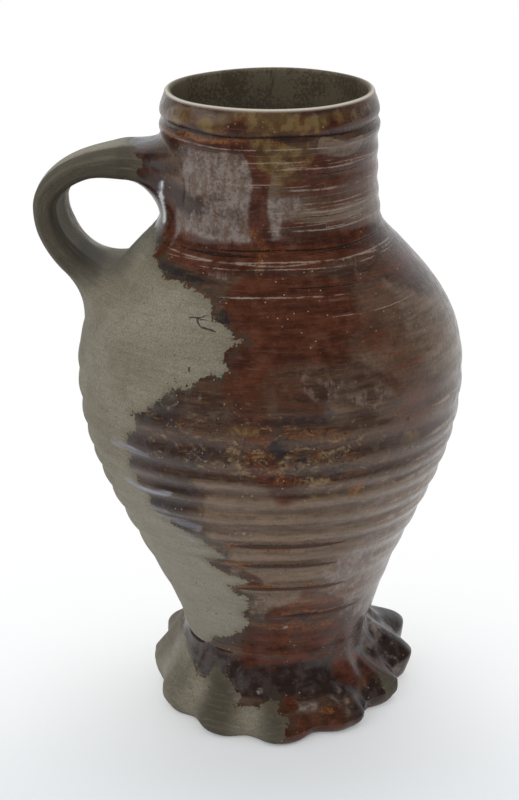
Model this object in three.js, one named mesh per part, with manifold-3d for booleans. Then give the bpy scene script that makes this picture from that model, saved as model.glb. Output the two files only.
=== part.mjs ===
// A stoneware jug with a strap handle and a frilled, thumb-pressed foot.
//
// Three pieces of clay are luted together: the pot thrown on the wheel, the strap handle, and the
// coil kneaded round the base as a foot. Units are millimetres, +Z is up. The origin is where the
// turning axis meets the surface that the jug stands on, and the handle points to -X, a little back.

import * as THREE from "three";
import { mergeVertices } from "three/addons/utils/BufferGeometryUtils.js";
import Module from "manifold-3d";

// Driving dimensions. Within the whole height, a rise is the height from one line to the next, and
// the belly takes what the others leave. Each curve of the wall leaves its ends along a tangent,
// and a reach says for how long it keeps to that tangent.

const jugHeight = 220;
const waistHeight = 26;
const waistRadius = 31.5;
const waistReach = 41;
const waistSlope = 0.315;
const baseInset = 1;
const bellyRadius = 66.4;
const lowerBellyReach = 37;
const upperBellyReach = 19;
const shoulderRise = 41.5;
const shoulderSlope = 0.93;
const shoulderReach = 12;
const neckRootRise = 15.5;
const neckRootSpread = 9.9;
const neckRadius = 36.5;
const neckLength = 28;
const collarLength = 11;
const collarProud = 0.6;
const collarRound = 5.5;
const grooveDepth = 0.7;
const grooveWidth = 2.8;
const lipInset = 2.3;
const lipThickness = 2.4;
const lipRound = 3;

// Throwing ridges, left by the potter's fingers on the belly and on the neck. The belly's start
// above the waist, and die out past its widest line.

const ridgePitch = 8.3;
const ridgeHeight = 0.9;
const ridgeStart = 28;
const ridgeEnd = 16;
const ridgeFade = 25;
const neckRidgePitch = 6.8;
const neckRidgeHeight = 0.4;

// Walls of the pot.

const bellyWall = 5;
const neckWall = 3.8;
const floorThickness = 8;
const floorCorner = 12;

// The strap handle. Its roots are set out from the collar and from the widest line of the belly,
// and its turn is how far it points away from -X, towards the back.

const handleTurn = 5.3;
const strapWidth = 28;
const strapThickness = 8.6;
const strapSquareness = 2.7;
const handleOffset = 40.2;
const upperRootDrop = 14.6;
const upperRootLift = 0.18;
const archReach = 29.2;
const archRoundness = 8.4;
const knuckleDrop = 15.4;
const knuckleReach = 12.7;
const lowerRootRise = 26;
const lowerRootInset = 4.3;
const lowerRootReach = 13.2;
const lowerRootTilt = 0.77;
const upperRootFlare = 9;
const upperRootLength = 12.5;
const lowerRootFlare = 4.8;
const lowerRootLength = 19.8;
const lowerRootSpread = 4;

// The kneaded foot. Each lobe has its place round the jug, measured from the front towards +X, how
// far it stands out past the plain foot, and the height at which it is widest. A thumb hollowed the
// coil out at each lobe, and left a ridge between every two, which ends in a notch in the edge.

const footHeight = 23;
const footReach = 14.5;
const notchDepth = 4.2;
const thumbHollow = 2.4;
const footUndercut = 1.2;
const liftUndercut = 0.32;
const skirtFall = 8;
const skirtStep = 3;
const lobeDrop = 5;
const lobeRound = 2.5;
const footShift = 3;
const lobes = [
  { at: -121, reach: 2, lift: 16 },
  { at: -101, reach: 0.4, lift: 10 },
  { at: -64, reach: -0.6, lift: 7 },
  { at: -30, reach: 2, lift: 4.5 },
  { at: 0, reach: 3.5, lift: 3.5 },
  { at: 34, reach: -1.4, lift: 4 },
  { at: 72, reach: -2.7, lift: 6 },
  { at: 101, reach: 2, lift: 9 },
  { at: 123, reach: 7.6, lift: 15 },
  { at: 151, reach: 2, lift: 14 },
  { at: 180, reach: 1, lift: 13 },
  { at: 210, reach: 2, lift: 14 },
];

// Pieces of clay are drawn this far apart where they meet.

const seamGap = 0.3;

// Fineness of the facets.

const turnSteps = 40;
const ridgeSteps = 4;
const plainStep = 4;
const handleSteps = 20;
const strapSides = 16;
const lobeSteps = 8;

// Heights that follow, from the lip downwards.

const collarHeight = jugHeight - collarLength;
const neckHeight = collarHeight - neckLength;
const shoulderHeight = neckHeight - neckRootRise;
const bellyHeight = shoulderHeight - shoulderRise;

// Radii that follow from the neck and from the waist.

const baseRadius = waistRadius - baseInset;
const shoulderRadius = neckRadius + neckRootSpread;
const collarRadius = neckRadius + collarProud;
const lipRadius = neckRadius - lipInset;
const footRadius = waistRadius + footReach;

const wasm = await Module();
wasm.setup();

function toSolid(geometry) {
  const bare = geometry.clone();
  bare.deleteAttribute("normal");
  bare.deleteAttribute("uv");
  const merged = mergeVertices(bare, 1e-4);
  return new wasm.Manifold(new wasm.Mesh({
    numProp: 3,
    vertProperties: new Float32Array(merged.attributes.position.array),
    triVerts: new Uint32Array(merged.index.array),
  }));
}

function toGeometry(solid) {
  const mesh = solid.getMesh();
  const geometry = new THREE.BufferGeometry();
  geometry.setAttribute("position", new THREE.BufferAttribute(new Float32Array(mesh.vertProperties), 3));
  geometry.setIndex(new THREE.BufferAttribute(new Uint32Array(mesh.triVerts), 1));
  geometry.computeVertexNormals();
  return geometry;
}

// A profile is a list of Vector2, x the distance from the turning axis and y the height.

function turned(profile) {
  const geometry = new THREE.LatheGeometry(profile, turnSteps);
  geometry.rotateX(Math.PI / 2);
  return geometry;
}

function curvePoints(steps, ...corners) {
  return new THREE.CubicBezierCurve(...corners.map(([r, z]) => new THREE.Vector2(r, z))).getPoints(steps);
}

// The pot's outer side without its ridges, from the waist up to the foot of the neck.
function wallCurve(bellySteps, shoulderSteps, neckSteps) {
  const waist = [waistRadius, waistHeight];
  const belly = [bellyRadius, bellyHeight];
  const shoulder = [shoulderRadius, shoulderHeight];
  const neck = [neckRadius, neckHeight];
  const rootReach = neckRootRise / 2;
  return [
    ...curvePoints(
      bellySteps,
      waist,
      [waistRadius + waistSlope * waistReach, waistHeight + waistReach],
      [bellyRadius, bellyHeight - lowerBellyReach],
      belly,
    ),
    ...curvePoints(
      shoulderSteps,
      belly,
      [bellyRadius, bellyHeight + upperBellyReach],
      [shoulderRadius + shoulderSlope * shoulderReach, shoulderHeight - shoulderReach],
      shoulder,
    ).slice(1),
    ...curvePoints(
      neckSteps,
      shoulder,
      [shoulderRadius - shoulderSlope * rootReach, shoulderHeight + rootReach],
      [neckRadius, neckHeight - rootReach],
      neck,
    ).slice(1),
  ];
}

const smoothWall = wallCurve(60, 24, 12);

// Moves every point of a profile outwards along its own normal, by a distance worked out from it.
function shifted(profile, distanceOf) {
  return profile.map((point, i) => {
    const before = profile[Math.max(i - 1, 0)];
    const after = profile[Math.min(i + 1, profile.length - 1)];
    const along = new THREE.Vector2().subVectors(after, before).normalize();
    const distance = distanceOf(point);
    return new THREE.Vector2(point.x + along.y * distance, point.y - along.x * distance);
  });
}

function radiusAt(profile, height) {
  const above = profile.findIndex((point) => point.y >= height);
  const low = profile[Math.max(above - 1, 0)];
  const high = profile[Math.max(above, 1)];
  return low.x + (high.x - low.x) * (height - low.y) / (high.y - low.y);
}

// Rises from 0 at the edge of a stretch to 1 at the given distance inside it.
function fade(distance, length) {
  return THREE.MathUtils.smoothstep(distance, 0, length);
}

function bellyRidge(height) {
  const start = waistHeight + ridgeStart;
  const end = bellyHeight + ridgeEnd;
  const strength = fade(height - start, ridgePitch) * fade(end - height, ridgeFade);
  return strength * (ridgeHeight / 2) * Math.cos(2 * Math.PI * (height - start) / ridgePitch);
}

function neckRidge(height) {
  return (neckRidgeHeight / 2) * Math.cos(2 * Math.PI * (collarHeight - height) / neckRidgePitch);
}

function evenly(from, to, step) {
  const count = Math.max(1, Math.round((to - from) / step));
  return Array.from({ length: count }, (_, i) => from + (to - from) * i / count);
}

// Close together where the ridges are, and wider apart where the wall is plain.
function wallHeights() {
  const start = waistHeight + ridgeStart;
  const end = bellyHeight + ridgeEnd;
  return [
    ...evenly(waistHeight, start, plainStep),
    ...evenly(start, end, ridgePitch / ridgeSteps),
    ...evenly(end, neckHeight, plainStep),
    neckHeight,
  ];
}

// The pot's outer side, ridges and collar included, from the underside up to the lip.
function outerProfile() {
  const base = [
    new THREE.Vector2(baseRadius, 0),
    new THREE.Vector2(baseRadius, waistHeight / 2),
  ];
  const wall = wallHeights().map((height) => (
    new THREE.Vector2(radiusAt(smoothWall, height) + bellyRidge(height), height)
  ));
  const neck = [];
  const neckSteps = Math.round(neckLength / (neckRidgePitch / ridgeSteps));
  for (let i = 1; i <= neckSteps; i += 1) {
    const height = neckHeight + neckLength * i / neckSteps;
    neck.push(new THREE.Vector2(neckRadius + neckRidge(height), height));
  }
  const lipOuter = lipRadius + lipThickness / 2;
  const collar = [
    new THREE.Vector2(neckRadius - grooveDepth, collarHeight + grooveWidth / 2),
    ...curvePoints(
      4,
      [collarRadius, collarHeight + grooveWidth],
      [collarRadius, jugHeight - collarRound],
      [lipOuter, jugHeight - lipRound],
      [lipOuter, jugHeight - lipThickness / 2],
    ),
  ];
  return [...base, ...wall, ...neck, ...collar];
}

function lip() {
  const points = [];
  for (let i = 1; i < 6; i += 1) {
    const angle = Math.PI * i / 6;
    points.push(new THREE.Vector2(
      lipRadius + Math.cos(angle) * lipThickness / 2,
      jugHeight - lipThickness / 2 + Math.sin(angle) * lipThickness / 2,
    ));
  }
  return points;
}

// The hollow, from the lip down to the middle of the floor.
function innerProfile() {
  const wall = shifted(wallCurve(12, 8, 4), (point) => {
    const share = fade(point.y - bellyHeight, neckHeight - bellyHeight);
    return -THREE.MathUtils.lerp(bellyWall, neckWall, share);
  });
  const hollowRadius = wall[0].x;
  const corner = curvePoints(
    5,
    [hollowRadius, floorThickness + floorCorner],
    [hollowRadius, floorThickness],
    [hollowRadius, floorThickness],
    [hollowRadius - floorCorner, floorThickness],
  );
  return [
    new THREE.Vector2(lipRadius - lipThickness / 2, jugHeight - lipThickness / 2),
    new THREE.Vector2(neckRadius - neckWall, collarHeight),
    ...wall.reverse(),
    ...corner,
    new THREE.Vector2(0, floorThickness),
  ];
}

function thrownBodySolid() {
  return toSolid(turned([
    new THREE.Vector2(0, 0),
    ...outerProfile(),
    ...lip(),
    ...innerProfile(),
  ]));
}

// What the handle and the foot are cut back from: the pot as a full lump, one gap larger.
function bodyEnvelope() {
  const grown = shifted(outerProfile(), () => seamGap);
  const below = -footHeight;
  return toSolid(turned([
    new THREE.Vector2(0, below),
    new THREE.Vector2(grown[0].x, below),
    ...grown,
    new THREE.Vector2(0, grown.at(-1).y),
  ]));
}

// Joins rings of points into one closed skin: capped at both ends, or closed on itself.
function skinned(rings, closed) {
  const count = rings[0].length;
  const positions = rings.flat().flatMap((point) => [point.x, point.y, point.z]);
  const index = [];
  const spans = closed ? rings.length : rings.length - 1;
  for (let i = 0; i < spans; i += 1) {
    const here = i * count;
    const next = ((i + 1) % rings.length) * count;
    for (let j = 0; j < count; j += 1) {
      const k = (j + 1) % count;
      index.push(here + j, here + k, next + k);
      index.push(here + j, next + k, next + j);
    }
  }
  if (!closed) {
    const last = (rings.length - 1) * count;
    for (let j = 1; j < count - 1; j += 1) {
      index.push(0, j + 1, j);
      index.push(last, last + j, last + j + 1);
    }
  }
  const geometry = new THREE.BufferGeometry();
  geometry.setAttribute("position", new THREE.Float32BufferAttribute(positions, 3));
  geometry.setIndex(index);
  return geometry;
}

// The middle line of the strap, from inside the neck's wall to inside the shoulder's wall.
function handlePath() {
  const knuckleX = -(neckRadius + handleOffset);
  const rootX = -(neckRadius - neckWall / 2);
  const rootZ = collarHeight - upperRootDrop;
  const knuckleZ = rootZ - knuckleDrop;
  const lowerZ = bellyHeight + lowerRootRise;
  const lowerX = -(radiusAt(smoothWall, lowerZ) - lowerRootInset);
  const at = (x, z) => new THREE.Vector3(x, 0, z);
  const path = new THREE.CurvePath();
  path.add(new THREE.CubicBezierCurve3(
    at(rootX, rootZ),
    at(rootX - archReach, rootZ + archReach * upperRootLift),
    at(knuckleX, knuckleZ + archRoundness),
    at(knuckleX, knuckleZ),
  ));
  path.add(new THREE.CubicBezierCurve3(
    at(knuckleX, knuckleZ),
    at(knuckleX, knuckleZ - knuckleReach),
    at(lowerX - lowerRootReach, lowerZ + lowerRootReach * lowerRootTilt),
    at(lowerX, lowerZ),
  ));
  return path;
}

function strapSection(centre, along, halfWidth, halfThickness) {
  const across = new THREE.Vector3(0, 1, 0);
  const outward = new THREE.Vector3().crossVectors(along, across).normalize();
  const ring = [];
  for (let i = 0; i < strapSides; i += 1) {
    const angle = 2 * Math.PI * i / strapSides;
    const power = 2 / strapSquareness;
    const side = Math.sign(Math.cos(angle)) * Math.abs(Math.cos(angle)) ** power;
    const face = Math.sign(Math.sin(angle)) * Math.abs(Math.sin(angle)) ** power;
    ring.push(centre.clone()
      .addScaledVector(across, side * halfWidth)
      .addScaledVector(outward, face * halfThickness));
  }
  return ring;
}

function strapHandleSolid(envelope) {
  const path = handlePath();
  const length = path.getLength();
  const rings = [];
  for (let i = 0; i <= handleSteps; i += 1) {
    const share = i / handleSteps;
    const fromTop = share * length;
    const fromBottom = length - fromTop;
    const upper = 1 - fade(fromTop, upperRootLength);
    const lower = 1 - fade(fromBottom, lowerRootLength);
    rings.push(strapSection(
      path.getPointAt(share),
      path.getTangentAt(share),
      strapWidth / 2 + lowerRootSpread * lower,
      strapThickness / 2 + upperRootFlare * upper + lowerRootFlare * lower,
    ));
  }
  return toSolid(skinned(rings, false)).rotate([0, 0, -handleTurn]).subtract(envelope);
}

// The foot's edge part of the way from one lobe to the next, past the ridge between them.
function footEdge(number, share) {
  const lobe = lobes[number];
  const next = lobes[(number + 1) % lobes.length];
  const turn = THREE.MathUtils.euclideanModulo(next.at - lobe.at, 360);
  const ridge = Math.sin(Math.PI * share) ** 3;
  return {
    angle: THREE.MathUtils.degToRad(lobe.at + turn * share),
    radius: footRadius + THREE.MathUtils.lerp(lobe.reach, next.reach, share) - notchDepth * ridge,
    lift: THREE.MathUtils.lerp(lobe.lift, next.lift, share),
    hollow: thumbHollow * (1 - ridge),
  };
}

function footSection({ angle, radius, lift, hollow }) {
  const undercut = footUndercut + liftUndercut * lift;
  const inner = baseRadius - bellyWall / 2;
  const skirt = curvePoints(
    5,
    [waistRadius, footHeight],
    [waistRadius + skirtStep - hollow, footHeight - skirtFall - hollow],
    [radius - lobeRound, lift + lobeDrop],
    [radius, lift],
  );
  const edge = curvePoints(
    2,
    [radius, lift],
    [radius, lift / 2],
    [radius - undercut / 3, lift / 5],
    [radius - undercut, 0],
  );
  const outline = [
    new THREE.Vector2(inner, 0),
    new THREE.Vector2(inner, footHeight),
    ...skirt,
    ...edge.slice(1),
  ];
  return outline.map((point) => {
    const shift = footShift * THREE.MathUtils.smoothstep(point.x, waistRadius, footRadius);
    return new THREE.Vector3(
      Math.sin(angle) * point.x + shift,
      -Math.cos(angle) * point.x,
      point.y,
    );
  });
}

function kneadedFootSolid(envelope) {
  const rings = lobes.flatMap((_, number) => (
    Array.from({ length: lobeSteps }, (__, step) => footSection(footEdge(number, step / lobeSteps)))
  ));
  return toSolid(skinned(rings, true)).subtract(envelope);
}

function piece(name, solid, color, roughness) {
  const material = new THREE.MeshStandardMaterial({ color, roughness, metalness: 0 });
  const mesh = new THREE.Mesh(toGeometry(solid), material);
  mesh.name = name;
  return mesh;
}

const envelope = bodyEnvelope();
const jug = new THREE.Group();
jug.add(
  piece("thrown_body", thrownBodySolid(), "#5d4438", 0.45),
  piece("strap_handle", strapHandleSolid(envelope), "#77705f", 0.6),
  piece("kneaded_foot", kneadedFootSolid(envelope), "#6d5f50", 0.55),
);

export default jug;
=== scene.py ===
"""The looks of a stoneware jug: three pieces of clay, the floor that it stands on, the light and the camera.

Lengths are in millimetres until a mesh is made. Round the pot, an angle is in degrees from the front (-Y)
towards +X, so the handle is at about -95.
"""

import math
from collections import namedtuple

import bpy
import numpy as np
from mathutils import Matrix, Vector


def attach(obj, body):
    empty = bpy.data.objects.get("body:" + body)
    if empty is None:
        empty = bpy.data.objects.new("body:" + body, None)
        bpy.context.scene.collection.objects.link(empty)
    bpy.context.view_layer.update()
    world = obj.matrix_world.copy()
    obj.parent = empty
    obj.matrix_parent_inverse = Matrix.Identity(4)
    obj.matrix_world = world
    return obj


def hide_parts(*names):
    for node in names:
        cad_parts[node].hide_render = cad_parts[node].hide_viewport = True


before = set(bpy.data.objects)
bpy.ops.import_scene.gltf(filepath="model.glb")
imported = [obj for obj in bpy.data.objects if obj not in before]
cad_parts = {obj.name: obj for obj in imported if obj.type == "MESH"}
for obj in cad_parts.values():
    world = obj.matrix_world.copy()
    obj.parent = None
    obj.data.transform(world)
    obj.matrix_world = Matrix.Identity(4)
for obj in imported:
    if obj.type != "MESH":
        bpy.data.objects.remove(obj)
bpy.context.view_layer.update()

MM = 0.001

# The waves of a swell start at an angle, in radians, below this.
FULL_TURN = 6.28


# Numbers along a surface

def ramp(low, high, value):
    """A smooth change from 0 at low to 1 at high, where low may be the greater."""
    share = np.clip((value - low) / (high - low), 0, 1)
    return share * share * (3 - 2 * share)


def bell(value, middle, width):
    """1 in the middle, falling off to both sides."""
    return np.exp(-((value - middle) / width) ** 2)


def bezier(corners, count):
    """Points along a curve with four corners, each of them a point or an array of points."""
    a, b, c, d = (np.array(corner, float) for corner in corners)
    t = np.linspace(0, 1, count).reshape(-1, *[1] * a.ndim)
    return (1 - t) ** 3 * a + 3 * (1 - t) ** 2 * t * b + 3 * (1 - t) * t ** 2 * c + t ** 3 * d


def drift(angle, height, seed, turns, rise, waves=10):
    """An uneven swell of about -1 to 1, seamless round the pot."""
    rng = np.random.default_rng(seed)
    total = np.zeros(np.broadcast(angle, height).shape)
    for _ in range(waves):
        count = rng.integers(-turns, turns + 1)
        up = rng.uniform(-rise, rise)
        total = total + np.sin(count * np.radians(angle) + up * height + rng.uniform(0, FULL_TURN))
    return total / math.sqrt(waves)


def unit(vectors):
    return vectors / np.linalg.norm(vectors, axis=-1, keepdims=True)


def curved(values, power):
    """Values raised to a power, with their sign kept."""
    return np.sign(values) * np.abs(values) ** power


# The thrown pot

LIP_TOP = 220.0
LIP_RADIUS, LIP_HALF = 34.2, 1.2
LIP_MIDDLE = LIP_TOP - LIP_HALF
NECK = (36.5, 181)
SHOULDER = (46.4, 165.5)
BELLY = (66.4, 124)
FLOOR_TOP = 8
WALL_THICK, NECK_THINNER = 5, 1.2
POT_ENDS = [(0, 0, 0), (0, 0, FLOOR_TOP)]
POT_ANGLES = np.arange(360) - 180.0

# The outline between the foot's crease and the collar, which is drawn in rows this far apart.
PLAIN_START, PLAIN_END, ROW_STEP = 26, 209, 0.95

# The outer wall: radius and height, from the underside up.
WALL = np.vstack([
    [(30.5, 0), (30.5, 13)],
    bezier([(31.5, PLAIN_START), (44.4, 67), (66.4, 87), BELLY], 90),
    bezier([BELLY, (66.4, 143), (57.56, 153.5), SHOULDER], 50)[1:],
    bezier([SHOULDER, (39.2, 173.25), (36.5, 173.25), NECK], 30)[1:],
    [(36.5, 203), (36.7, 205.5), (37.15, 207.5), (37.2, 208.8), (36.75, 210), (36.45, 211), (36.7, 211.9)],
    bezier([(37.0, 212.6), (37.35, 214.5), (35.9, 217.2), (LIP_RADIUS + LIP_HALF, LIP_MIDDLE)], 12),
])

# Heights, and how far the pot leans to +X there.
SWAY = [(0, 0), (20, 0), (26, 1.1), (35, 1.5), (44, 0.96), (57, 0), (80, -0.5), (220, -0.6)]

# Valleys between the throwing ridges: the crest below, the bottom of the groove, the crest above, the depth.
VALLEYS = [
    (36, 44, 49, 0.25), (49, 56.5, 61, 0.45), (61, 67, 70.5, 0.8), (70.5, 76, 79.5, 0.95),
    (79.5, 83.5, 87, 1), (87, 91, 94.5, 1), (94.5, 97.8, 101, 0.9), (101, 105, 108.5, 0.9),
    (108.5, 114, 118.5, 0.75), (118.5, 124, 128, 0.5), (128, 133, 140, 0.25), (174, 177.5, 180, 0.3),
    (180, 183, 186, 0.3), (186, 190, 193.5, 0.35), (193.5, 197, 200.5, 0.35), (200.5, 204, 207, 0.3),
]

# A crest stands out by this share of the mean depth of the valleys beside it.
CREST_SHARE = 0.42
RIDGE_WANDER, RIDGE_UNEVEN = 0.35, 0.25
RIDGES_FROM, RIDGES_TO = (33, 45), (209, 210)

# Lines cut round the pot: the height and the depth.
INCISED = [(174, 0.25), (171, 0.2), (169, 0.15), (161.5, 0.15), (209.6, 0.12)]
INCISED_WIDTH = 0.55

OVAL, OVAL_TURN, UNEVEN = 0.16, 40, 0.07
ROOT_SWELL, ROOT_SWELL_HEIGHT, ROOT_SWELL_WIDTH = 0.9, 178, 7


def ridge_relief(angle, height):
    """How far the ridges stand out of the plain wall, and where a point is in them (-1 groove, 1 crest)."""
    height = height + RIDGE_WANDER * drift(angle, height, 11, 4, 0.03)
    strength = 1 + RIDGE_UNEVEN * drift(angle, height, 12, 3, 0.03)
    relief, place = np.zeros_like(height), np.zeros_like(height)
    crests = {}
    for low, _, high, depth in VALLEYS:
        crests.setdefault(low, []).append(depth)
        crests.setdefault(high, []).append(depth)
    lines = sorted((line, CREST_SHARE * sum(depths) / 2) for line, depths in crests.items())
    level = np.interp(height, [30] + [line for line, _ in lines], [0] + [rise for _, rise in lines])
    for low, groove, high, depth in VALLEYS:
        inside = (height >= low) & (height <= high)
        rising = ramp(0, 1, (height - low) / (groove - low)) ** 1.3
        falling = ramp(0, 1, (high - height) / (high - groove))
        dip = np.where(height < groove, rising, falling)
        relief = np.where(inside, -depth * dip, relief)
        place = np.where(inside, (1 - 2 * dip) * min(1, depth * 1.4), place)
    ridged = ramp(*RIDGES_FROM, height) * (1 - ramp(*RIDGES_TO, height))
    relief = strength * (relief + level) * ridged
    for line, depth in INCISED:
        relief = relief - depth * bell(height, line, INCISED_WIDTH)
    return relief, place * ridged


def pot_radius(angle, height):
    radius = np.interp(height, WALL[:, 1], WALL[:, 0]) + ridge_relief(angle, height)[0]
    uneven = OVAL * np.cos(np.radians(2 * angle + OVAL_TURN)) + UNEVEN * drift(angle, height, 13, 6, 0.06)
    at_sides = ramp(40, 85, np.abs(angle)) * (1 - ramp(120, 160, np.abs(angle)))
    root = ROOT_SWELL * bell(height, ROOT_SWELL_HEIGHT, ROOT_SWELL_WIDTH) * at_sides
    return radius + uneven * ramp(26, 60, height) + root


def sway(height):
    return np.interp(height, *zip(*SWAY))


def round_pot(angle, radius, height, drop=0.0):
    """Places round the pot, which may lie lower by a drop."""
    turn = np.radians(angle)
    x, y = radius * np.sin(turn) + sway(height), -radius * np.cos(turn)
    return np.stack(np.broadcast_arrays(x, y, height - drop), axis=-1)


def pot_point(angle, height, lift=0.0):
    """A place on the pot's outer wall, or so far out of it."""
    return round_pot(angle, pot_radius(angle, height) + lift, height)


def pot_rows():
    """The pot's outline up the outside (heights), over the lip and down the inside (radii and heights)."""
    plain = np.arange(PLAIN_START, PLAIN_END, ROW_STEP)
    outer = np.concatenate([[0, 6, 13, 20], plain, np.linspace(PLAIN_END, LIP_MIDDLE, 15)])
    turns = np.linspace(0, math.pi, 10)[1:]
    lip = np.stack([LIP_RADIUS + LIP_HALF * np.cos(turns), LIP_MIDDLE + LIP_HALF * np.sin(turns)], axis=-1)
    wall = WALL[(WALL[:, 1] >= PLAIN_START) & (WALL[:, 1] <= PLAIN_END)]
    along = unit(np.gradient(wall, axis=0))
    thick = WALL_THICK - NECK_THINNER * ramp(BELLY[1], NECK[1], wall[:, 1])
    inner = wall + np.stack([-along[:, 1] * thick, along[:, 0] * thick], axis=-1)
    heights = np.concatenate([[215, 212], np.linspace(208, 29, 34)])
    hollow = np.stack([np.interp(heights, inner[:, 1], inner[:, 0]), heights], axis=-1)
    corner = bezier([(26.6, 22), (26.6, FLOOR_TOP), (24, FLOOR_TOP), (13, FLOOR_TOP)], 10)
    return outer, lip, np.vstack([hollow, corner, [(5, FLOOR_TOP)]])


# The meshes

def added(name, data):
    """A new object in the scene."""
    thing = bpy.data.objects.new(name, data)
    bpy.context.scene.collection.objects.link(thing)
    return thing


def grid_faces(rows, columns, closed):
    """Four-sided faces of a grid whose last column joins the first, and its rows too if it is closed."""
    row, column = np.meshgrid(np.arange(rows if closed else rows - 1), np.arange(columns), indexing="ij")
    here, after, beside = row * columns, (row + 1) % rows * columns, (column + 1) % columns
    corners = [here + column, here + beside, after + beside, after + column]
    return np.stack(corners, axis=-1).reshape(-1, 4).tolist()


# A place's distance from a line, where no line is near.
FAR = 9.0

# The masks that a piece without a lip, an inside or lines leaves at these values.
PLAIN = {"relief": 0, "inside": 0, "lip": 0}
for kind in ("line", "pale_and_gleam", "crack"):
    PLAIN.update({kind + "_offset": FAR, kind + "_half": 0})


def make_piece(name, grid, masks, drag, ends=(), turned=False):
    """Makes a piece from a grid of points, its masks, and the places at which dragged noise is read.

    The first and the last row each close at an end point, or on each other if there is none. A grid whose
    faces look inwards is turned.
    """
    rows, columns = grid.shape[:2]
    points = np.concatenate([grid.reshape(-1, 3), np.reshape(ends, (-1, 3))])
    faces = grid_faces(rows, columns, not len(ends))
    last_row = (rows - 1) * columns
    for k in range(columns if len(ends) else 0):
        after = (k + 1) % columns
        faces.append((len(points) - 2, after, k))
        faces.append((len(points) - 1, last_row + k, last_row + after))
    mesh = bpy.data.meshes.new(name)
    mesh.from_pydata((points * MM).tolist(), [], [face[::-1] for face in faces] if turned else faces)
    mesh.shade_smooth()
    for label, values in {**PLAIN, **masks}.items():
        values = np.broadcast_to(values, (rows, columns))
        values = np.append(values, [values[0, 0], values[-1, 0]][:len(ends)])
        mesh.attributes.new(label, "FLOAT", "POINT").data.foreach_set("value", values.astype(np.float32))
    drag_values = np.asarray(drag, np.float32).ravel()
    mesh.attributes.new("drag", "FLOAT_VECTOR", "POINT").data.foreach_set("vector", drag_values)
    return added(name, mesh)


# Painting: masks of 0 to 1 on the points of a surface

# How soft the edge of a stroke is, as a share of its width.
HARD, SOFT = 0.5, 0.95


def off_line(away, up, run, rise):
    """How far a place (away, up) is from the line between (0, 0) and (run, rise)."""
    share = np.clip((away * run + up * rise) / np.maximum(run ** 2 + rise ** 2, 1e-6), 0, 1)
    return np.hypot(away - share * run, up - share * rise)


def stroke(angle, height, radius, start, end, width, soft=HARD):
    """One brush stroke between two places (angle, height). The width is half of it, in millimetres."""
    away = radius * np.radians((angle - start[0] + 180) % 360 - 180)
    distance = off_line(away, height - start[1], radius * math.radians(end[0] - start[0]), end[1] - start[1])
    return 1 - ramp(width * (1 - soft), width * (1 + soft), distance)


def painted(angle, height, radius, strokes, soft=HARD):
    """A mask of several strokes, with their edges moved about a little."""
    mask = np.zeros_like(height)
    shifted_angle = angle + 2.0 * drift(angle, height, 21, 14, 0.3)
    shifted_height = height + 0.8 * drift(angle, height, 22, 14, 0.2)
    for t0, z0, t1, z1, width, strength in strokes:
        drawn = stroke(shifted_angle, shifted_height, radius, (t0, z0), (t1, z1), width, soft)
        mask = np.maximum(mask, strength * drawn)
    return mask


def inside_outline(angle, height, radius, outline):
    """How far a place lies inside a closed outline, in millimetres; below 0 outside it."""
    corners = np.array(outline, float)
    nearest = np.full(angle.shape, 1e9)
    inside = np.zeros(angle.shape, bool)
    for start, end in zip(corners, np.roll(corners, -1, axis=0)):
        up, rise = height - start[1], end[1] - start[1]
        run = radius * math.radians(end[0] - start[0])
        nearest = np.minimum(nearest, off_line(radius * np.radians(angle - start[0]), up, run, rise))
        if rise:
            crosses = (start[1] > height) != (end[1] > height)
            inside ^= crosses & (angle < start[0] + up / rise * (end[0] - start[0]))
    return np.where(inside, nearest, -nearest)


# Bare clay on the pot, below and in front of the handle: the corners of its outline.
CLAY = [
    (-62, 169), (-55, 166), (-45, 163.5), (-38, 163.5), (-25, 161.5), (-22, 160), (-20, 156), (-17, 155),
    (-14, 153), (-12, 151), (-9, 149.5), (-13, 147), (-14, 144), (-12, 142), (-14, 140), (-20, 138),
    (-24, 134.5), (-30, 132.5), (-33, 129), (-36, 126), (-38, 123.5), (-44, 121.5), (-41, 120.5), (-42, 116),
    (-46, 114), (-47, 109), (-46, 105), (-48, 102), (-47, 99), (-45, 95), (-42, 90), (-44, 86), (-36, 82),
    (-30, 80), (-25, 76), (-18, 71), (-28, 68), (-22, 64), (-9, 60.5), (-14, 58), (-20, 57), (-16, 54),
    (-12, 52), (-12, 49), (-16, 46), (-17, 44), (-14, 41), (-17, 38), (-24, 35), (-27, 33), (-40, 31),
    (-45, 29), (-50, 26), (-50, 18), (-150, 18), (-152, 60), (-146, 90), (-155, 120), (-148, 140),
    (-140, 160), (-125, 170), (-110, 174), (-90, 174.5), (-75, 173), (-68, 171),
]

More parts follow.
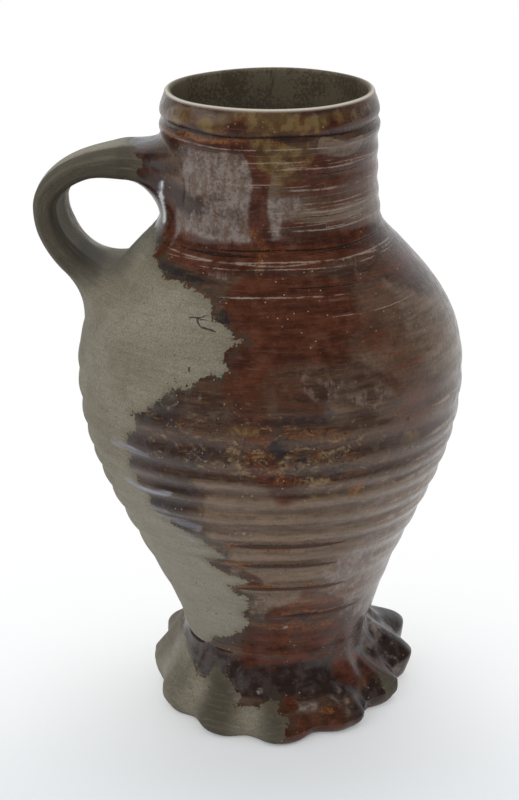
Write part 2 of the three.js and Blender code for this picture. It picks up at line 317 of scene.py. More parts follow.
# The strokes of each paint on the pot: from an angle and a height to others, half the width, the strength.
PAINTS = {"red": [
    (96, 156, 142, 160, 10, 0.7), (118, 178, 172, 176, 5, 0.7), (140, 206, 178, 206, 4, 0.6),
    (100, 44, 150, 42, 7, 0.7), (-178, 150, -162, 158, 10, 0.6), (146, 108, 170, 100, 7, 0.5),
    (-2, 152, 20, 152, 10, 1), (24, 152, 40, 152, 10, 0.6), (-8, 160, 20, 160, 8, 1),
    (26, 160, 44, 158, 8, 0.6), (-9, 148, -4, 142, 6, 0.8), (-8, 141, -5, 124, 9, 0.6),
    (4, 140, 8, 130, 7, 0.45), (-45, 172, 50, 174, 4.5, 0.9), (-60, 172, -62, 180, 6, 0.8),
    (-6, 172, -6, 205, 3.6, 1), (10, 180, 60, 176, 4, 0.7), (-14, 31, 45, 31, 5, 1), (-12, 36, 40, 35, 4, 1),
    (0, 44, 32, 46, 4, 0.9), (-2, 112, 3, 100, 6, 0.7), (8, 203, 30, 202, 4, 0.6), (12, 190, 60, 188, 3, 0.6),
    (-66, 208, -10, 207, 2.2, 0.8), (30, 214, 38, 215, 3, 0.8), (14, 215, 18, 216, 3, 0.7),
    (-16, 214, -10, 215, 3, 0.7), (-50, 215, -42, 215, 2.5, 0.6), (40, 145, 50, 120, 12, 0.5),
    (-12, 62, -6, 60, 3, 0.8), (55, 170, 75, 165, 8, 0.5), (14, 52, 28, 50, 3, 0.6),
    (16, 197, 62, 196, 8, 0.75), (-50, 213, 60, 213, 3, 0.5),
], "rust": [
    (-70, 209.4, 4, 209.4, 1, 0.85), (-12, 39, 30, 38, 2.2, 0.7), (8, 48, 44, 51, 1.6, 0.7),
    (6, 121, 18, 120, 2.4, 0.65), (-26, 68.6, -8, 67.2, 1.3, 1), (-20, 57.5, 0, 56.6, 1.5, 1),
    (-14, 75.4, 26, 75.6, 1.3, 0.75), (2, 105, 8, 103, 2.5, 0.65), (0, 56.4, 34, 56.6, 1.1, 0.75),
    (-8, 67, 26, 67, 1, 0.65), (4, 44.5, 50, 44.4, 1, 0.7), (12, 203, 24, 202, 1.6, 0.6),
    (-4, 112, 2, 108, 2, 0.6), (-36, 192, -20, 191, 0.6, 0.5), (-8, 172, -6, 168, 2, 0.7),
    (16, 213, 24, 213, 2, 0.6), (-30, 213, -22, 213.5, 2.2, 0.6), (26, 97, 31, 99, 2, 0.8),
    (-4, 55.4, 30, 55.2, 0.7, 0.7), (-10, 180, -4, 174, 2.6, 0.6),
], "lilac": [
    # Lilac bloom. The broad strokes on the right of the belly, between 30 and 92 degrees, and the broad one
    # on the neck from 64 to 85 degrees are partly a painted sheen standing in for grazing reflection.
    (112, 192, 150, 188, 8, 0.6), (128, 132, 166, 118, 12, 0.5), (-178, 186, -150, 180, 6, 0.5),
    (150, 66, 176, 60, 9, 0.6), (106, 96, 120, 92, 6, 0.45), (-50, 178, -15, 178, 7, 0.75),
    (-42, 198, -14, 196, 8, 0.85), (-24, 186, -14, 184, 9, 0.8), (-36, 171, -18, 170, 3, 0.7),
    (-46, 203, -14, 203, 3, 0.7), (0, 188, 10, 187, 5, 0.8), (0, 180, 12, 179, 4, 0.8),
    (20, 196, 60, 197, 2.5, 0.5), (20, 190, 60, 191, 2, 0.4), (64, 190, 85, 190, 14, 0.15),
    (44, 60, 75, 60, 18, 0.7), (44, 75, 70, 80, 10, 0.4), (40, 48, 70, 42, 8, 0.6),
    (76, 150, 88, 128, 13, 0.15), (70, 112, 92, 84, 15, 0.15), (-58, 206, -40, 207, 2, 0.5),
    (-64, 215, -56, 215, 4, 0.6), (52, 216, 60, 216, 3, 0.5), (32, 62, 60, 56, 9, 0.75),
    (30, 90, 50, 90, 6, 0.5), (11, 135, 34, 131, 6, 0.42), (-34, 131, -22, 134, 3.5, 0.5),
    (50, 60, 64, 50, 8, 0.7),
], "ochre": [
    (-1, 203, 6, 201, 3, 1), (0, 207, 18, 207, 2.2, 0.9), (10, 205, 20, 203, 2.6, 0.8),
    (4, 197.5, 14, 198, 1.6, 0.7), (-34, 215, -29, 214, 2.6, 0.9), (-8, 216, 12, 216, 2.6, 1),
    (20, 215, 29, 215, 2.8, 0.9), (-60, 215, -44, 216, 3, 0.7), (-26, 216, -14, 217, 1.6, 0.7),
    (-6, 213, 0, 212.5, 2, 0.8), (30, 216.5, 46, 216.5, 1.6, 0.6), (16, 212.5, 26, 212.8, 1, 0.7),
    (38, 216.5, 50, 216, 2, 0.5), (-3, 209, 2, 205, 2.5, 0.8), (-11, 121, -6, 120, 1.6, 0.8),
    (24, 96, 30, 95, 1.6, 0.6), (12, 97, 20, 96, 1.2, 0.5), (43, 114, 47, 113, 2, 0.7),
    (-24, 90, -14, 87, 1, 0.5),
], "dark": [
    (1, 116, 3, 114, 2.4, 0.9), (8, 113, 10, 112, 1.6, 0.6), (22, 108, 25, 107, 1.5, 0.7),
    (20, 104, 22, 103, 1.2, 0.7), (-17, 157, -15, 155, 2.2, 1), (-13, 152, -11, 150, 1.4, 0.9),
    (-50, 166.5, -30, 165.4, 1, 0.9), (-70, 211.8, -38, 211.3, 0.9, 0.8), (1, 211.2, 12, 211.2, 0.9, 0.8),
    (34, 211.6, 44, 211.8, 0.8, 0.8), (-12, 45, -4, 44, 1.6, 0.6), (-14, 38.5, -6, 38, 1.6, 0.6),
    (-12, 50, -2, 49, 2, 0.5), (-2, 99, 4, 98, 1.5, 0.5),
], "crust": [
    (0, 98, 44, 98, 6, 0.6), (116, 112, 168, 100, 13, 0.7), (-176, 120, -160, 126, 8, 0.6),
    (-32, 118, 25, 110, 15, 0.8), (-8, 112, 20, 108, 10, 1), (25, 104, 50, 104, 9, 0.7),
    (20, 124, 40, 122, 8, 0.6),
], "purple": [
    (-40, 124, -28, 126, 6, 0.9), (-42, 108, -20, 112, 8, 0.7), (-35, 97, -26, 98, 6, 0.7),
    (-44, 90, -30, 88, 5, 0.8), (-40, 82, -24, 80, 4, 0.7), (-56, 186, -40, 184, 7, 0.7),
    (4, 118, 14, 128, 8, 0.5), (-30, 74, -22, 72, 1.6, 0.8),
], "tan": [
    (-26, 84, -14, 86, 6, 0.42), (92, 88, 140, 84, 10, 0.6), (150, 80, 178, 74, 9, 0.5),
    (-178, 90, -160, 84, 9, 0.45), (104, 140, 136, 134, 12, 0.5), (-14, 88, 60, 88, 9, 1),
    (-18, 76, 60, 76, 9, 1), (-8, 62, 60, 62, 9, 1), (-4, 52, 55, 52, 6, 0.9), (-20, 99, 50, 98, 4, 0.5),
    (-8, 46, 10, 45, 4, 0.6), (40, 150, 70, 140, 16, 0.7), (20, 130, 60, 125, 10, 0.5),
    (-60, 215, 70, 215, 5, 0.4), (10, 190, 80, 190, 12, 0.75), (30, 207, 52, 206, 3, 0.9),
    (-64, 196, -40, 184, 10, 0.5),
], "pale_and_gleam": [
    # Painted highlights: blue-grey streaks on the ridges left of the front (the first five strokes) and a
    # white gleam beside the handle's upper root (the last two, whose strength above 1 turns them white). The
    # three small strokes between them are pale specks.
    (-52, 107.6, -40, 108, 1.2, 0.6), (-52, 94.4, -33, 93.6, 1.3, 0.8), (-42, 88, -32, 86.4, 0.7, 0.6),
    (-40, 83.4, -24, 81.8, 1.2, 0.55), (-50, 78.5, -30, 76.5, 0.6, 0.7), (-8.6, 82, -8.2, 82, 0.35, 1),
    (7, 80.5, 7.2, 80.5, 0.3, 1), (5, 38.8, 7, 38.4, 0.3, 1), (-67, 191, -69, 186, 0.8, 1.5),
    (-69, 186, -73, 178, 2, 1.6),
]}

# Thin cracks in the bare clay: from an angle and a height to others, half the width.
CRACKS = [
    (-28, 155, -24.4, 155.2, 0.16), (-24.4, 155.2, -21.6, 156.2, 0.14), (-25.4, 154.8, -23.2, 152.9, 0.2),
    (-23.2, 152.9, -18, 152, 0.24), (-24.2, 141.3, -23.9, 139.2, 0.24),
]

# The pot's radius near the cracks.
CRACKED_RADIUS = 60

# A dark crack down the inside of the neck.
NECK_CRACK = {"start": (178.6, 219), "end": (179, 209), "width": 0.3, "soft": 0.9}

# Dark lines, and pale lines with painted gleams, drawn round the pot: from one angle to another, the height,
# half the width.
LINES = [
    (-16, 30, 76, 0.8), (-14, 29, 67, 0.75), (-17, 38, 56.5, 0.75), (4, 52, 44, 0.55), (-30, 80, 174, 0.24),
    (-64, 80, 211.2, 0.4), (-50, -2, 172.4, 0.25), (4, 44, 164, 0.15), (14, 50, 184.5, 0.12),
    (20, 60, 198.6, 0.1),
]
# Painted highlights: the lines on the crests of the neck's ridges (180 to 207.2) and all those from about 38
# to 88 degrees on the belly are painted gleams on the ridges. The rest are pale lines in the glaze.
PALE_AND_GLEAM_LINES = [
    (-64, 85, 207.2, 0.2), (-2, 85, 200.5, 0.24), (4, 85, 193.5, 0.28), (-2, 85, 186, 0.28),
    (-4, 85, 180, 0.24), (-58, 85, 170.8, 0.2), (-36, 80, 169, 0.12), (-22, 34, 161.6, 0.2),
    (-30, 10, 195.6, 0.18), (6, 70, 188.8, 0.2), (10, 60, 182.6, 0.2), (-20, 40, 202.8, 0.16),
    (18, 66, 156, 0.1), (46, 88, 54, 0.6), (42, 88, 63, 0.65), (40, 88, 72.3, 0.75), (38, 88, 81.3, 0.75),
    (40, 88, 88.8, 0.7), (42, 88, 96.3, 0.75), (46, 88, 103, 0.7), (50, 88, 110.5, 0.7), (54, 88, 120.5, 0.6),
]

# A line fades out between these distances from its middle.
LINE_FADE = (1.6, 2.6)


def nearest(lines):
    """How far a place is from the nearest of some lines, and half the width of that line there."""
    offset, half = FAR, 0
    for away, width in lines:
        closer = np.abs(away) < np.abs(offset)
        offset = np.where(closer, away, offset)
        half = np.where(closer, width * (1 - ramp(*LINE_FADE, np.abs(away))), half)
    return offset, half


def hairlines(angle, height, lines):
    height = height + 0.3 * drift(angle, height, 31, 6, 0.02)
    return nearest((height - line, width * ramp(0, 9, angle - start) * ramp(0, 14, end - angle))
                   for start, end, line, width in lines)


def cracks(angle, height, radius, lines):
    """Lines that go from one place to another, in any direction."""
    found = []
    for t0, z0, t1, z1, width in lines:
        away, up = radius * np.radians(angle - t0), height - z0
        run, rise = CRACKED_RADIUS * math.radians(t1 - t0), z1 - z0
        length = math.hypot(run, rise)
        share = (away * run + up * rise) / length ** 2
        ends = ramp(-0.15, 0.15, share) * (1 - ramp(0.85, 1.15, share))
        found.append((np.where(ends > 0, (up * run - away * rise) / length, FAR), width * ends))
    return nearest(found)


def pot_masks(grid, outer):
    """The pot's masks. Its outside ends on the lip, three rows past the outer heights."""
    rows, columns = grid.shape[:2]
    a, z = np.broadcast_to(POT_ANGLES, (rows, columns)), grid[:, :, 2]
    radius = np.hypot(grid[:, :, 0], grid[:, :, 1])
    outside, relief, lip_worn_and_lit = np.zeros((3, rows, columns))
    outside[:len(outer) + 3] = 1
    relief[:len(outer)] = ridge_relief(*np.meshgrid(POT_ANGLES, outer))[1]
    # The rim's mask: pale worn glaze, with a painted highlight along the top of the lip.
    lip_worn_and_lit[len(outer) - 1:len(outer) + 5] = np.array([0.0, 0.15, 0.6, 1, 0.7, 0.3])[:, None]
    bare = np.where(outside > 0, inside_outline(a, z, radius, CLAY), -20)
    # relief paints the glaze lighter on the ridges' crests and darker in their grooves (painted highlight and
    # painted shade), and inside it lightens the clay towards the lip. shade paints the bare clay lighter
    # below 120 mm (painted light).
    masks = {
        "bare": bare, "inside": 1 - outside, "relief": np.where(outside > 0, relief, ramp(196, 216, z)),
        "lip": lip_worn_and_lit, "shade": 0.35 * (1 - ramp(70, 120, z)),
    }
    for label, strokes in PAINTS.items():
        masks[label] = painted(a, z, radius, strokes, SOFT if label == "purple" else HARD) * outside
    masks["dark"] = masks["dark"] + 0.8 * stroke(a + 0.6 * np.sin(z), z, radius, **NECK_CRACK) * (1 - outside)
    masks["purple"] = masks["purple"] * (1 - ramp(-1, 2, bare))
    dark_lines, pale_and_gleam_lines = hairlines(a, z, LINES), hairlines(a, z, PALE_AND_GLEAM_LINES)
    lines = {"line": dark_lines, "pale_and_gleam": pale_and_gleam_lines, "crack": cracks(a, z, radius, CRACKS)}
    for label, (offset, half) in lines.items():
        masks.update({label + "_offset": offset, label + "_half": half * outside})
    return masks


def thrown_pot():
    outer, lip, hollow = pot_rows()
    rows = [pot_point(*np.meshgrid(POT_ANGLES, outer))]
    top_drop = 0.1 + 0.12 * drift(POT_ANGLES, 0, 41, 5, 0)
    uneven = 0.12 * drift(POT_ANGLES, 0, 42, 9, 0)
    for radius, height in lip:
        share = ramp(-LIP_HALF, LIP_HALF, height - LIP_MIDDLE)
        rows.append(round_pot(POT_ANGLES, radius + uneven, height, top_drop * share)[None])
    for radius, height in hollow:
        rings = 0.18 * math.sin(height * 2 * math.pi / 7.5) if height > 30 else 0
        rows.append(round_pot(POT_ANGLES, radius + rings, height)[None])
    grid = np.concatenate(rows)
    drag = np.concatenate([grid.reshape(-1, 3), POT_ENDS]) * (0.1, 0.1, 1)
    return make_piece("thrown_pot", grid, pot_masks(grid, outer), drag, POT_ENDS)


# The strap handle

HANDLE_ANGLE = -95.3
STRAP_HALF_WIDTH, STRAP_HALF_THICK = 14.0, 4.3

# How square the strap's section is, outside and inside.
STRAP_SQUARE, INNER_SQUARE = 2.7, 4.0
KNUCKLE = (-76.7, 179.0)
STRAP_PATH = np.vstack([
    bezier([(-34.6, 194.4), (-63.8, 199.66), (-76.7, 187.4), KNUCKLE], 300),
    bezier([KNUCKLE, (-76.7, 166.3), (-67.5, 160.16), (-54.3, 150)], 300)[1:],
])

# The strap keeps its own section from this far from its upper end to this far from its lower end.
UPPER_START, LOWER_END = 15.0, 17.0
ROOT_STEP, ROOT_POWER = 1.1, 1.15

# Grooves of the pull: where across the strap, the depth, the width.
OUTER_GROOVES = [(6.0, 0.6, 0.9), (-7.0, 0.35, 1.2)]
INNER_GROOVES = [(-3, 0.18, 1.0), (4, 0.15, 0.9)]
CURL = 1.9

# Where a root lands on the pot: its middle's height, how far it spreads sideways, up and down. Then for the
# top, the bottom and the sides: how far the last corner of its curve stands off the pot, how far the strap's
# own line is followed, and how much of the way to the landing the last corner lies at. Then its rings.
Root = namedtuple("Root", "height spread up down full reach share rings")
UPPER_ROOT = Root(194.0, 29.0, 12.0, 17.0, (0.6, 0.3, 2.0), (0.3, 0.3, 0.34), (0.55, 0.72, 0.66), 22)
LOWER_ROOT = Root(153.5, 33.0, 6.0, 13.5, (0.1, 4.0, 2.6), (0.2, 0.25, 0.25), (0.5, 0.36, 0.66), 26)


def strap_frame(distance):
    """The strap's middle line and its directions along and outwards, at distances from its upper end."""
    steps = np.hypot(*np.diff(STRAP_PATH, axis=0).T)
    length = np.concatenate([[0], np.cumsum(steps)])

    def at(place):
        return np.stack([np.interp(place, length, STRAP_PATH[:, i]) for i in (0, 1)], axis=-1)

    x, z = at(distance).T
    run, rise = unit(at(distance + 0.2) - at(distance - 0.2)).T
    level = 0 * x
    middle = np.stack([x, level, z], axis=-1)
    forward = np.stack([run, level, rise], axis=-1)
    outward = np.stack([rise, level, -run], axis=-1)
    return middle, forward, outward, length[-1]


def turned_back(points):
    """Turns points about the pot's axis, from a handle that points to -X to where this one points."""
    turn = math.radians(HANDLE_ANGLE + 90)
    x, y, z = np.moveaxis(points, -1, 0)
    turned = [x * math.cos(turn) - y * math.sin(turn), x * math.sin(turn) + y * math.cos(turn), z]
    return np.stack(turned, axis=-1)


def root_rings(root, side, rise, edge, forward):
    """Rings of points that carry the strap's edge on to the pot in a hollow curve, and a little into it."""
    middle_radius = float(pot_radius(np.array(HANDLE_ANGLE), np.array(root.height)))
    out, rise = curved(side, ROOT_POWER), curved(rise, ROOT_POWER)
    shares = np.array([np.maximum(rise, 0) ** 2, np.maximum(-rise, 0) ** 2, out ** 2])
    full, reach, share = np.array([root.full, root.reach, root.share]) @ shares / shares.sum(axis=0)
    turn = np.degrees(out * root.spread / middle_radius)
    lift = np.where(rise > 0, root.up, root.down) * rise

    def on_pot(part, above):
        return pot_point(HANDLE_ANGLE + turn * part, root.height + lift * part, above)

    landing = on_pot(1, 0.05)
    away = np.linalg.norm(landing - edge, axis=-1, keepdims=True)
    curve = bezier([edge, edge + forward * away * reach[:, None], on_pot(share, full), landing], root.rings)
    return [*curve[1:], on_pot(1.03, -0.5), on_pot(0.5, -2.0)]


def strap_ring(side, face, length, distance, middle, outward):
    """The strap's edge at a distance along it, as a ring of points."""
    upper = 1 - ramp(UPPER_START, UPPER_START + 9, distance)
    lower = 1 - ramp(0, 12, length - LOWER_END - distance)
    free = (1 - upper) * (1 - lower)
    half_width = STRAP_HALF_WIDTH + 0.8 * lower + 0.35 * drift(distance * 3, 0, 51, 5, 0) * free
    half_thick = STRAP_HALF_THICK + 0.5 * lower + 0.12 * drift(distance * 4, 0, 52, 6, 0)
    near_root = 1 - ramp(UPPER_START - 4, UPPER_START + 14, distance)
    cut = 0
    for grooves, here in ((OUTER_GROOVES, face > 0), (INNER_GROOVES, face < 0)):
        for place, depth, width in grooves:
            cut = cut + depth * bell(side * half_width, place, width) * here
    thick = (half_thick + near_root * np.where(face < 0, 2.3, 0.9)) * face - np.sign(face) * cut * free
    curl = CURL * free * np.maximum(-side, 0) ** 1.6
    return turned_back(middle - side[:, None] * half_width * (0, 1, 0) + (thick - curl)[:, None] * outward)


def strap_shade(s, f, along, length):
    """How light (1) or dark (-1) the strap's clay is painted, across the strap (s) and from its inside to its
    outside (f): painted shade on its near side and in dark lines along its faces, painted light on its outer
    face, and painted highlights along its far inner edge and the top of its near side.
    """
    across = s * STRAP_HALF_WIDTH
    near_edge = np.where(f > 0, ramp(0.44, 0.58, s), ramp(0.45, 0.75, s))
    outer_face = ramp(0.1, 0.6, f) * (1 - ramp(0.34, 0.54, s))
    inner_face = ramp(-0.1, -0.6, f) * (1 - ramp(0.4, 0.7, s))
    shade = -0.7 * near_edge + 0.45 * outer_face - 0.12 * inner_face
    shade = shade - 0.5 * bell(across, 6.0, 0.7) * (f > 0.3) - 0.4 * bell(across, 8.5, 0.9) * (f < -0.3)
    shade = shade + 1.6 * ramp(-0.1, -0.7, s) * ramp(-0.2, -0.6, f)
    shade = shade + 0.14 * bell(f, 0.5, 0.15) * (s > 0.6)
    return shade * ramp(2, 8, along) * (1 - ramp(length - 20, length + 10, along))


def strap_masks(grid, s, f, along, length):
    """The strap's masks: its own thin paint, and the pot's strokes where it has come on to the pot."""
    angle = np.degrees(np.arctan2(grid[:, :, 0], -grid[:, :, 1]))
    place = angle, grid[:, :, 2], np.hypot(grid[:, :, 0], grid[:, :, 1])
    smudge = ramp(length - 26, length - 14, along) * (1 - ramp(length - 6, length + 8, along))
    purple = ramp(-6, 4, along) * (1 - ramp(14, 18, along)) + smudge * (0.5 + 0.4 * (f < 0))
    own = {"red": 0.42, "lilac": 0.22, "tan": 0.1, "purple": purple}
    on_pot = 1 - ramp(-8, 5, along) + ramp(length - 8, length + 8, along)
    masks = {label: own.get(label, 0) * (1 - on_pot) + painted(*place, strokes) * on_pot
             for label, strokes in PAINTS.items()}
    masks["pale_and_gleam"] = painted(*place, PAINTS["pale_and_gleam"])
    glaze_end = 10.0 + 1.6 * drift(np.arange(grid.shape[1]) * 360 / grid.shape[1], 0, 53, 7, 0)
    masks.update({"bare": along - glaze_end, "shade": strap_shade(s, f, along, length)})
    return masks


def strap_handle():
    columns = 128
    turn = np.arange(columns) * 2 * math.pi / columns
    power = 2 / np.where(np.sin(turn) < 0, INNER_SQUARE, STRAP_SQUARE)
    side, face = curved(np.cos(turn), power), curved(np.sin(turn), power)
    length = strap_frame(np.array([0.0]))[3]
    stations = np.linspace(UPPER_START, length - LOWER_END, 110)
    middle, forward, outward, _ = strap_frame(stations)
    rings = [strap_ring(side, face, length, *values) for values in zip(stations, middle, outward)]
    upper = root_rings(UPPER_ROOT, side, face, rings[0], turned_back(-forward[0])[None])
    lower = root_rings(LOWER_ROOT, side, -face, rings[-1], turned_back(forward[-1])[None])
    grid = np.array(upper[::-1] + rings + lower)
    before = UPPER_START - ROOT_STEP * np.arange(len(upper), 0, -1)
    beyond = length - LOWER_END + ROOT_STEP * np.arange(1, len(lower) + 1)
    along = np.repeat(np.concatenate([before, stations, beyond])[:, None], columns, axis=1)
    s, f = np.broadcast_to(side, along.shape), np.broadcast_to(face, along.shape)
    drag = np.stack([along * 0.12, s * 20, f * 7], axis=-1).reshape(-1, 3)
    drag = np.concatenate([drag, drag[:1], drag[-1:]])
    ends = [grid[0].mean(axis=0), grid[-1].mean(axis=0)]
    return make_piece("pulled_handle", grid, strap_masks(grid, s, f, along, length), drag, ends, turned=True)


# The kneaded foot

FOOT_HEIGHT, FOOT_REACH, WAIST_RADIUS = 23.0, 14.5, 31.5
FOOT_RADIUS = WAIST_RADIUS + FOOT_REACH
FOOT_SHIFT = 3
LUMPS = 0.35

# The thumb marks between the ridges: how far a ridge stands back, and how deep the skirt is hollowed.
RIDGE_BACK, HOLLOW = 4.2, 3.2

# The underside and the side on the pot: radii and heights.
FOOT_INNER = [(38, 0), (30.7, 0), (30.7, 10), (31.0, 20)]

# The lobes of the frill: the angle, how far they reach past the foot's radius, and how high they are widest.
LOBES = [
    (-121, 2, 16), (-101, 0.4, 10), (-64, -0.6, 7), (-30, 2, 4.5), (0, 3.5, 3.5), (34, -1.4, 4),
    (72, -2.7, 6), (101, 2, 9), (123, 7.6, 13.5), (151, 2, 13), (180, 1, 13), (210, 2, 14),
]

# Bare clay on the foot, and the strokes of its paints: the angle and the way down from the crease.
FOOT_CLAY = [
    (-0.8, 60), (-172, 60), (-166, 42), (-171, 31), (-164, 22), (-170, 13), (-163, 5), (-120, 4), (-100, 4.5),
    (-85, 4), (-70, 5), (-62, 8), (-56, 10.5), (-50, 12.5), (-43, 12.2), (-39, 9), (-36, 8), (-34, 9),
    (-31, 9.5), (-28.6, 9.9), (-24.5, 12.9), (-18, 15.6), (-19, 17.8), (-22, 19.8), (-17, 18.9), (-10, 18.7),
    (-3, 17.2), (0, 18), (0, 21.4), (2.5, 23.7), (3, 28), (1.6, 31), (-0.8, 35),
]
FOOT_SPOT = [
    (67, 22), (70, 20.5), (77, 24), (79, 30), (74, 34), (68, 34), (64, 30), (64, 26),
]
FOOT_PAINTS = {"red": [
    (-15, 0, 60, 0, 4, 1), (3, 28, 26, 31, 6, 0.65), (8, 26, 30, 26, 4, 0.6), (50, 10, 72, 18, 6, 0.8),
    (4, 18, 8, 18, 3, 0.8), (-24, 3, 0, 6, 2, 0.4),
], "rust": [
    (23, 23, 27, 24, 1.2, 0.9), (58, 20, 66, 22, 2, 0.5), (8, 17, 24, 16, 0.8, 0.5),
    (4, 26, 10, 30, 1.2, 0.4),
], "lilac": [
    (11, 19, 20, 20, 2.6, 0.6), (32, 20, 36, 26, 2, 0.5), (40, 14, 41, 24, 3, 0.45), (84, 8, 90, 26, 3, 0.5),
    (100, 6, 112, 24, 4, 0.6), (-13, 12, -10, 13, 1.6, 0.5), (76, 4, 92, 4, 3, 0.4),
    # The broad stroke over the back lobes is partly a painted sheen.
    (84, 8, 160, 18, 12, 0.4),
], "purple": [
    (-100, 3, -70, 3, 3, 1.3), (-70, 4, -50, 7, 4, 1.3), (-50, 4, -20, 11, 5, 1.3), (-20, 8, 45, 13, 7, 1.2),
    (62, 22, 44, 28, 5, 0.9), (80, 14, 150, 14, 14, 1), (-125, 12, -88, 14, 9, 0.55),
    (-75, 8, -66, 22, 3, 0.4), (-50, 16, -44, 26, 3, 0.3),
], "dark": [
    # The thin strokes at 14 to 26, 59 to 65 and -36 to -33 degrees are painted shade in nail dents that the
    # mesh doesn't have.
    (14, 12.6, 26, 13.2, 0.7, 0.8), (34, 8, 36, 14, 3, 0.5), (59, 12, 65, 14, 1.2, 0.8),
    (-36, 14, -33, 14.6, 0.8, 0.6), (-19, 26.6, -15, 26.3, 0.5, 1), (28, 9, 34, 16, 2.5, 0.4),
], "ochre": [
    (-56, 10, -50, 11.5, 1, 0.6), (-66, 7, -60, 8.5, 1, 0.5),
], "tan": [
    (5, 24, 30, 28, 5, 0.3),
], "pale_and_gleam": [
    # The first stroke is a painted highlight at the edge of a nail dent.
    (-12, 13.4, -11, 13.8, 0.5, 0.7), (-54, 10, -53.6, 10, 0.3, 0.8),
]}


def foot_edge(angles):
    """The foot's edge at each angle: its radius, how high it is widest, and how near a ridge is (0 to 1)."""
    places, reaches, lifts = np.array(LOBES + [LOBES[0]], float).T
    places[-1] += 360
    wrapped = (angles - places[0]) % 360 + places[0]
    share = np.interp(wrapped, places, np.arange(len(places))) % 1
    ridge = np.sin(math.pi * share) ** 3
    radius = FOOT_RADIUS + np.interp(wrapped, places, reaches) - RIDGE_BACK * ridge
    return radius, np.interp(wrapped, places, lifts), ridge


def foot_section(angle, radius, lift, ridge):
    """The foot's outline at an angle, as radii and heights: skirt, edge, underside and inner side."""
    hollow = HOLLOW * (1 - ridge ** 1.5)
    undercut = 1.2 + 0.32 * lift
    back = ramp(75, 115, abs(angle))
    crease = FOOT_HEIGHT + 4 + 2 * back
    skirt = bezier([
        (pot_radius(angle, np.array(crease)) - 0.1, crease),
        (WAIST_RADIUS + 0.6 + 6 * back - 0.6 * hollow, FOOT_HEIGHT - 7 + 8 * back - hollow),
        (radius - 3 - 1.5 * back, lift + 5 + back), (radius, lift),
    ], 40)
    toe = radius - undercut
    edge = bezier([(radius, lift), (radius, lift / 2), (radius - undercut / 3, lift / 5), (toe, 0)], 12)
    return np.vstack([skirt, edge[1:], [(toe - 1.5, 0)], FOOT_INNER])


def kneaded_foot():
    columns = 440
    angles = np.arange(columns) * 360 / columns - 180
    turn, edges = np.radians(angles), foot_edge(angles)
    outline = np.array([foot_section(*values) for values in zip(angles, *edges)]).transpose(1, 0, 2)
    reach, z = outline[:, :, 0], outline[:, :, 1]
    shift = sway(z) + (FOOT_SHIFT - sway(z)) * ramp(WAIST_RADIUS, FOOT_RADIUS, reach)
    free = ramp(WAIST_RADIUS + 0.5, WAIST_RADIUS + 4, reach) * ramp(0.5, 3, z)
    lumps = LUMPS * drift(angles, z + reach, 61, 26, 0.5) * free
    reach = reach + lumps
    grid = np.stack([np.sin(turn) * reach + shift, -np.cos(turn) * reach, z + 0.3 * lumps], axis=-1)
    steps = np.linalg.norm(np.diff(grid, axis=0), axis=-1)
    down = np.concatenate([np.zeros((1, columns)), np.cumsum(steps, axis=0)])
    on_pot = pot_point(angles, grid[0, :, 2], -0.3)
    grid = grid + (on_pot - grid[0]) * (1 - ramp(1, 7, down))[:, :, None]

    a, ridge = np.broadcast_to(angles, down.shape), np.broadcast_to(edges[2], down.shape)
    place = a, down, np.hypot(grid[:, :, 0], grid[:, :, 1])
    masks = {label: painted(*place, FOOT_PAINTS.get(label, [])) for label in PAINTS}
    masks.update({
        "bare": np.maximum(inside_outline(*place, FOOT_CLAY), inside_outline(*place, FOOT_SPOT)),
        # Painted highlights on the ridges and painted shade in the thumb hollows, in the glaze through relief
        # and in the clay through shade. The shade also paints the clay lighter on the lobes at -45 degrees
        # and further left (painted light), and its base of -0.7 makes the foot's clay darker and yellower.
        "relief": 1.1 * ridge - 0.4,
        "shade": 0.55 * ridge - 0.7 + 0.65 * ramp(-45, -75, a),
    })
    return make_piece("foot_coil", grid, masks, np.stack([a / 14, down, ridge * 2], axis=-1), turned=True)


# Materials

def linear(colour):
    """A colour as it is seen, 0 to 255, in the linear values that Blender works in."""
    values = [v / 255 for v in colour]
    return [v / 12.92 if v <= 0.04045 else ((v + 0.055) / 1.055) ** 2.4 for v in values] + [1.0]


class Nodes:
    """Builds a tree of nodes. An input takes a value or another node's output, and colours are 0 to 255."""

    def __init__(self, tree):
        self.tree = tree

    def link(self, source, target):
        if isinstance(source, bpy.types.NodeSocket):
            self.tree.links.new(source, target)
        else:
            target.default_value = source

    def node(self, kind, inputs=None, **settings):
        node = self.tree.nodes.new("ShaderNode" + kind)
        for name, value in settings.items():
            setattr(node, name, value)
        for place, value in (inputs or {}).items():
            self.link(value, node.inputs[place])
        return node

    def math(self, operation, a, b=0.0):
        return self.node("Math", {0: a, 1: b}, operation=operation).outputs[0]

    def add(self, a, b):
        return self.math("ADD", a, b)

    def times(self, a, b):
        return self.math("MULTIPLY", a, b)

    def most(self, a, b):
        return self.math("MAXIMUM", a, b)

    def step(self, value, low, high, before=0.0, after=1.0):
        """A smooth change as a value goes from low to high; low may be above high."""
        if low > high:
            low, high, before, after = high, low, after, before
        inputs = {"Value": value, "From Min": low, "From Max": high, "To Min": before, "To Max": after}
        return self.node("MapRange", inputs, interpolation_type="SMOOTHSTEP").outputs["Result"]

    def blend(self, share, first, second):
        return self.node("Mix", {0: share, 2: first, 3: second}).outputs[0]

    def mix(self, share, first, second):
        """The first colour, and as the share goes to 1 the second."""
        ends = [linear(end) if isinstance(end, tuple) else end for end in (first, second)]
        return self.node("Mix", {0: share, 6: ends[0], 7: ends[1]}, data_type="RGBA").outputs[2]

    def tones(self, value, low, high, first, second):
        """The first colour, and as a value goes from low to high the second."""
        return self.mix(self.step(value, low, high), first, second)

    def coats(self, colour, *coats):
        """Lays coats over a colour. Each has its mask, how much it covers at most, and its colour."""
        for mask, cover, coat in coats:
            colour = self.mix(self.times(mask, cover), colour, coat)
        return colour


